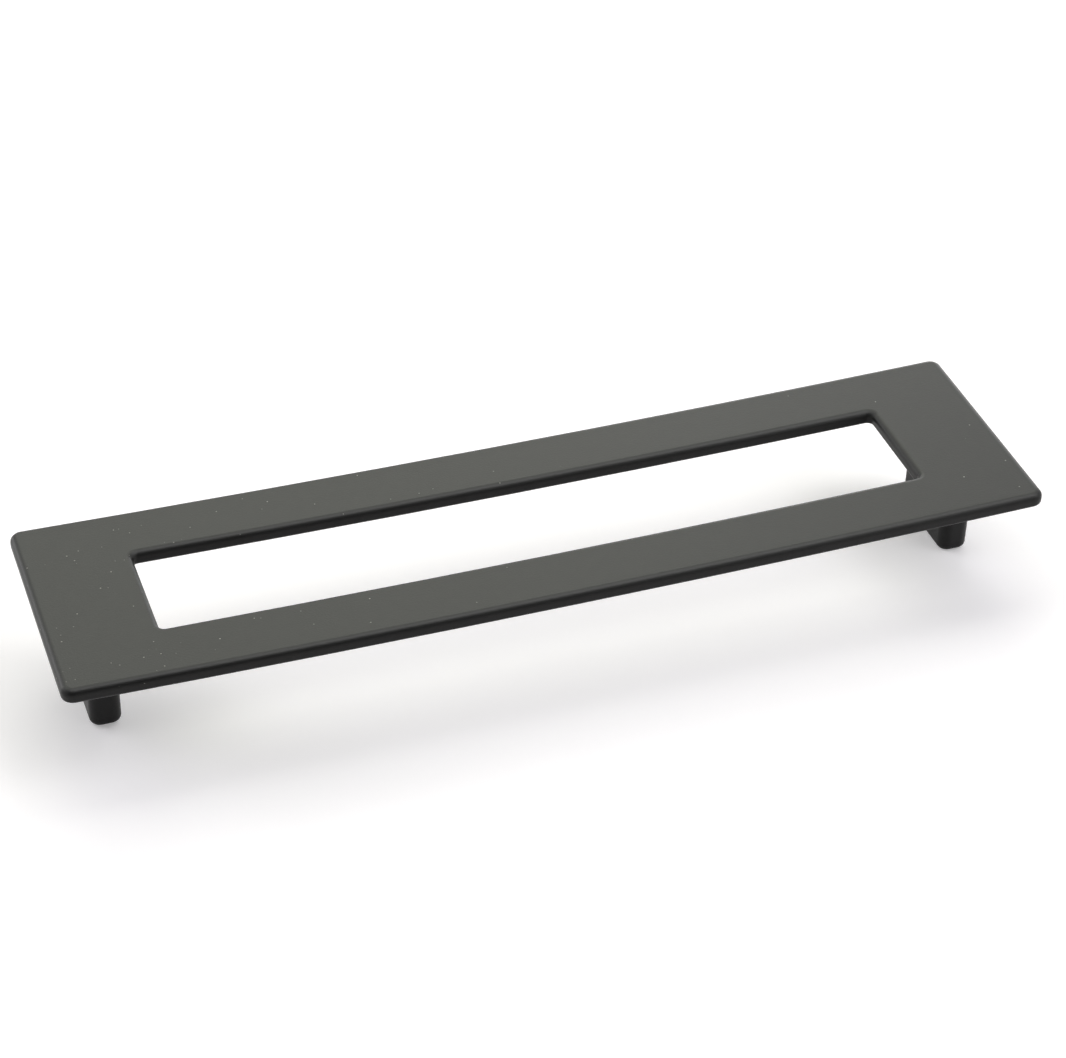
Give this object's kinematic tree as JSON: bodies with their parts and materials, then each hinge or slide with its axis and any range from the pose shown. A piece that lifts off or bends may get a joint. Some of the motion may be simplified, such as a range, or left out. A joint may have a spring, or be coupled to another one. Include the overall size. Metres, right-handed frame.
{
  "type": "rectangular cabinet pull",
  "caption": "Flat rectangular frame pull for a drawer or cabinet door, with a long open window, carried on slim feet that are tapped for screws from behind.",
  "frame": {"origin": "midway between the two feet, on the face that meets the furniture", "axes": "+X along the plate's length, +Y across it, +Z away from the furniture"},
  "size_m": [0.214, 0.055, 0.0252],
  "materials": {
    "black_coat": "matte black powder coat on die-cast zinc"
  },
  "bodies": {
    "root": {"pull": "black_coat"}
  },
  "joints": []
}
